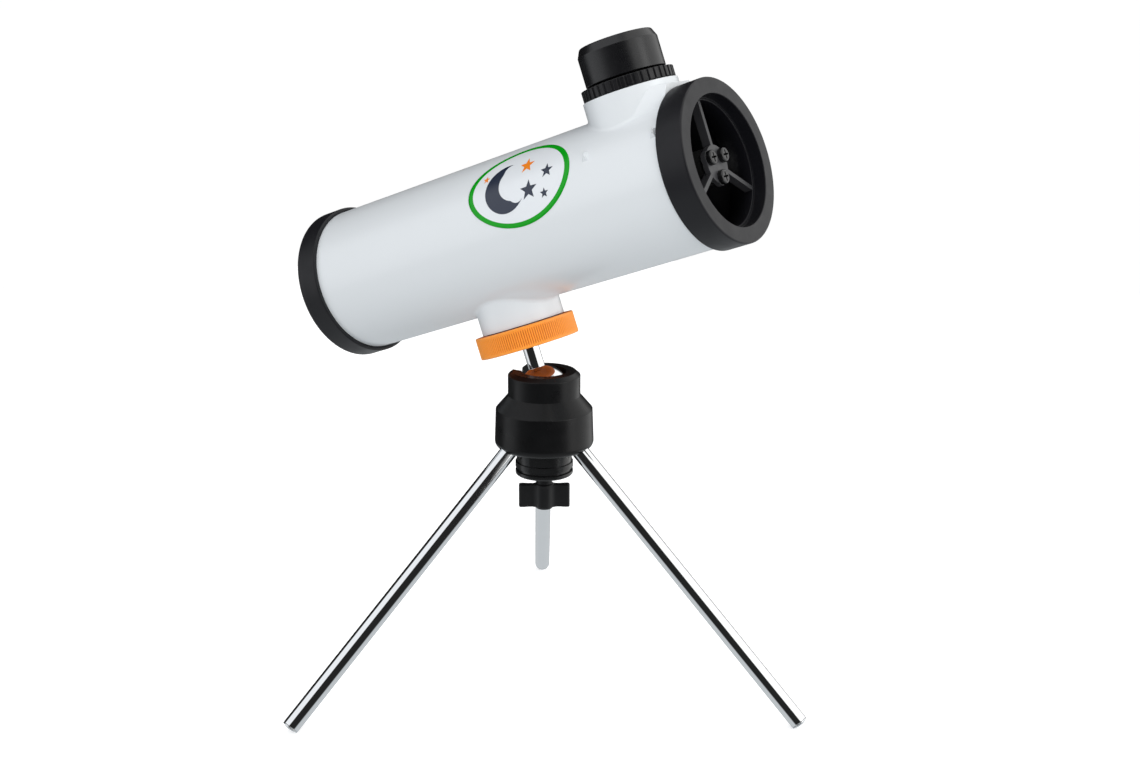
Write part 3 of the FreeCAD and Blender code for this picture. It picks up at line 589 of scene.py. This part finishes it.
def crescent(u, v, size):
    """Vertices and faces of a crescent moon, open to the upper right."""
    steps = 48
    bite = Vector((math.cos(math.radians(20)), math.sin(math.radians(20)))) * size * 0.42

    def point(across, along):
        way = along * steps / (steps - 1)
        a = math.radians(75 + 250 * way)
        outer = Vector((math.cos(a), math.sin(a))) * size
        inner = bite + Vector((math.cos(a), math.sin(a))) * size * 0.74
        inner = outer.lerp(inner, min(1.0, math.sin(math.pi * way) * 1.35))
        p = outer.lerp(inner, across)
        return on_label(u + p.x, v + p.y, 0.06)
    return grid(6, steps, point, False)


def make_label():
    """Oval label: green rim, pale face, and a plain moon and stars."""
    def face_point(out, round_it):
        a = 2 * math.pi * round_it
        r = out / 0.97
        if r <= 1:
            return on_label(LABEL_HALF[0] * r * math.cos(a), LABEL_HALF[1] * r * math.sin(a), 0.0)
        return on_label(LABEL_HALF[0] * math.cos(a), LABEL_HALF[1] * math.sin(a), -0.2)
    verts, faces = grid(33, 128, face_point, True)
    label = solid("label_face", verts, faces, TUBE, LABEL_PALE)
    label.data.materials.append(LABEL_GREEN)
    for poly in label.data.polygons:
        p = TUBE.inverted() @ poly.center / MM
        angle = LABEL_ANGLE - math.atan2(p.z, p.y)
        u, v = p.x - LABEL_X, LABEL_R * math.sin(angle)
        c, s = math.cos(-LABEL_TILT), math.sin(-LABEL_TILT)
        u, v = u * c - v * s, u * s + v * c
        out = math.hypot(u / LABEL_HALF[0], v / LABEL_HALF[1])
        poly.material_index = 1 if out > LABEL_RIM else 0
    put(label, "telescope", "label", "side_label")
    moon = solid("label_moon", *crescent(-6.0, -0.8, 10.2), TUBE, LABEL_NAVY)
    put(moon, "telescope", "label", "side_label")
    navy = joined([star(5.4, -4.4, 4.2), star(14.0, 1.4, 3.1), star(12.8, -7.4, 2.1)])
    put(solid("label_stars", *navy, TUBE, LABEL_NAVY), "telescope", "label", "side_label")
    bright = joined([star(3.6, 6.6, 3.6), star(-16.6, 5.6, 1.7)])
    put(solid("label_bright_stars", *bright, TUBE, LABEL_ORANGE), "telescope", "label", "side_label")


# ---- lenses ----

def lens_outline(bottom):
    """Biconvex lens with a plain edge."""
    flat = math.sqrt(LENS_SPHERE ** 2 - LENS_R ** 2)
    low = bottom + LENS_SPHERE - flat
    radii = [LENS_R * k / 12 for k in range(13)]
    rises = [math.sqrt(LENS_SPHERE ** 2 - r ** 2) - flat for r in radii]
    lower = [(r, low - rise) for r, rise in zip(radii, rises)]
    upper = [(r, low + LENS_EDGE + rise) for r, rise in zip(radii, rises)]
    return lower + upper[::-1]


def make_lenses():
    """The two lenses of the eyepiece."""
    for node, bottom in (("field_lens", 23.0), ("eye_lens", 45.8)):
        lens = lathe(f"{node}_polished", lens_outline(bottom), FOCUSER, GLASS, 96)
        put(lens, "eyepiece", "lens_glass", node)


# ---- CAD nodes that keep their shape ----

KEPT = {
    "optical_tube": TUBE_WHITE,
    "bell_housing": HEAD_BLACK,
    "leg_hub": HUB_BLACK,
    "leg_pins": STEEL,
    "hub_screws": SCREW_BLACK,
    "pressure_cup": INNER_BLACK,
    "clamp_screw": STEEL,
    "ball_liner": NYLON,
    "grip_pad": RUBBER,
    "mount_insert": BRASS,
    "secondary_screws": SCREW_BLACK,
    "secondary_holder": INNER_BLACK,
    "secondary_mirror": MIRROR,
    "mirror_cell": INNER_BLACK,
    "primary_mirror": MIRROR,
    "mirror_retainer": INNER_BLACK,
    "cell_screws": SCREW_BLACK,
    "focuser_drawtube": INNER_BLACK,
    "eyepiece_barrel": INNER_BLACK,
    "lens_spacer": INNER_BLACK,
}


def paint_kept():
    """Gives each carried-over CAD node its material."""
    for node, mat in KEPT.items():
        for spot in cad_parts[node].material_slots:
            spot.material = mat


# ---- studio ----

def area_light(name, spot, aim, size, power, mirrored=True):
    """Soft rectangular light aimed at a point. Unless mirrored, it casts light but no reflection."""
    data = bpy.data.lights.new(name, "AREA")
    data.shape = "RECTANGLE"
    data.size, data.size_y = size
    data.energy = power
    light = bpy.data.objects.new(name, data)
    light.location = spot
    light.visible_glossy = mirrored
    light.rotation_mode = "QUATERNION"
    light.rotation_quaternion = (Vector(aim) - Vector(spot)).to_track_quat("-Z", "Y")
    bpy.context.collection.objects.link(light)


def glow_material():
    """Plain white glow for the backdrop."""
    mat = bpy.data.materials.new("backdrop_glow")
    mat.use_nodes = True
    shader = mat.node_tree.nodes["Principled BSDF"]
    shader.inputs["Base Color"].default_value = (0, 0, 0, 1)
    shader.inputs["Emission Color"].default_value = (1, 1, 1, 1)
    shader.inputs["Emission Strength"].default_value = 1.0
    return mat


def make_stage():
    """Pale floor and a far white backdrop that only the camera sees."""
    sheets = (("floor", 0.9, True, FLOOR), ("backdrop", 9.0, False, glow_material()))
    for name, radius, flat, mat in sheets:
        mesh = bpy.data.meshes.new(name)
        work = bmesh.new()
        if flat:
            bmesh.ops.create_circle(work, cap_ends=True, radius=radius, segments=96)
        else:
            bmesh.ops.create_uvsphere(work, u_segments=64, v_segments=32, radius=radius)
        work.to_mesh(mesh)
        work.free()
        mesh.materials.append(mat)
        obj = bpy.data.objects.new(name, mesh)
        bpy.context.collection.objects.link(obj)
        obj.visible_diffuse = False
        obj.visible_glossy = False
        obj.visible_transmission = False
        obj.visible_shadow = flat


# Bright panels of the light tent: the side they lean to, the lean at which they begin, how far back
# they reach, and their light
PANELS = (
    (-1, 0.44, 0.2, (1.0, 1.02, 1.05)),
    (1, 0.32, 0.72, (1.25, 1.25, 1.24)),
)
ROOM_GLOW = (0.02, 0.02, 0.02)
FLOOR_GLOW = (0.60, 0.63, 0.65)


def make_lights():
    """Light tent with two panels overhead and a bright floor, and three area lights in front."""
    world = bpy.data.worlds.new("studio")
    world.use_nodes = True
    tree = world.node_tree
    direction = add(tree, "ShaderNodeTexCoord").outputs["Generated"]
    split = add(tree, "ShaderNodeSeparateXYZ")
    tree.links.new(direction, split.inputs["Vector"])
    glow = ROOM_GLOW
    for side, edge, back, light in PANELS:
        lean = add(tree, "ShaderNodeVectorMath", operation="DOT_PRODUCT")
        lean.inputs[1].default_value = (side, 0.5, 1)
        tree.links.new(direction, lean.inputs[0])
        clear = band(tree, split.outputs["X"], 0.0, 0.1 * side)
        ahead = band(tree, split.outputs["Y"], back + 0.16, back)
        panel = product(tree, band(tree, lean.outputs["Value"], edge, edge + 0.1), clear, ahead)
        glow = tinted(tree, panel, glow, light)
    low = band(tree, split.outputs["Z"], -0.3, -0.45)
    glow = tinted(tree, low, glow, FLOOR_GLOW)
    tree.links.new(glow, tree.nodes["Background"].inputs["Color"])
    bpy.context.scene.world = world
    middle = (0, 0, 0.15)
    area_light("front_high", (-0.6, -1.3, 1.1), middle, (1.2, 0.8), 6, mirrored=False)
    area_light("front_low", (0.25, -1.5, 0.2), middle, (0.9, 0.4), 7.8, mirrored=False)
    area_light("right", (1.3, -0.65, 0.35), middle, (0.5, 1.2), 3)


CAMERA_SPOT = (-0.0060, -0.6683, 0.3105)
CAMERA_TURN, CAMERA_DIP, CAMERA_ROLL = -1.42, 15.26, 0.17
CAMERA_LENS, CAMERA_SENSOR = 53.49, 36


def make_camera():
    """Camera in front of the tripod, slightly above the tube, as solved from the photo's outlines."""
    data = bpy.data.cameras.new("camera")
    data.lens = CAMERA_LENS
    data.sensor_width = CAMERA_SENSOR
    cam = bpy.data.objects.new("camera", data)
    turn = Matrix.Rotation(math.radians(CAMERA_TURN), 4, "Z")
    pitch = Matrix.Rotation(math.radians(90 - CAMERA_DIP), 4, "X")
    roll = Matrix.Rotation(math.radians(CAMERA_ROLL), 4, "Z")
    cam.matrix_world = Matrix.Translation(CAMERA_SPOT) @ turn @ pitch @ roll
    bpy.context.collection.objects.link(cam)
    bpy.context.scene.camera = cam


make_camera()
make_stage()
make_lights()
paint_kept()
make_head()
make_rings()
make_ends()
make_label()
make_lenses()
bpy.context.scene.view_settings.view_transform = "Standard"
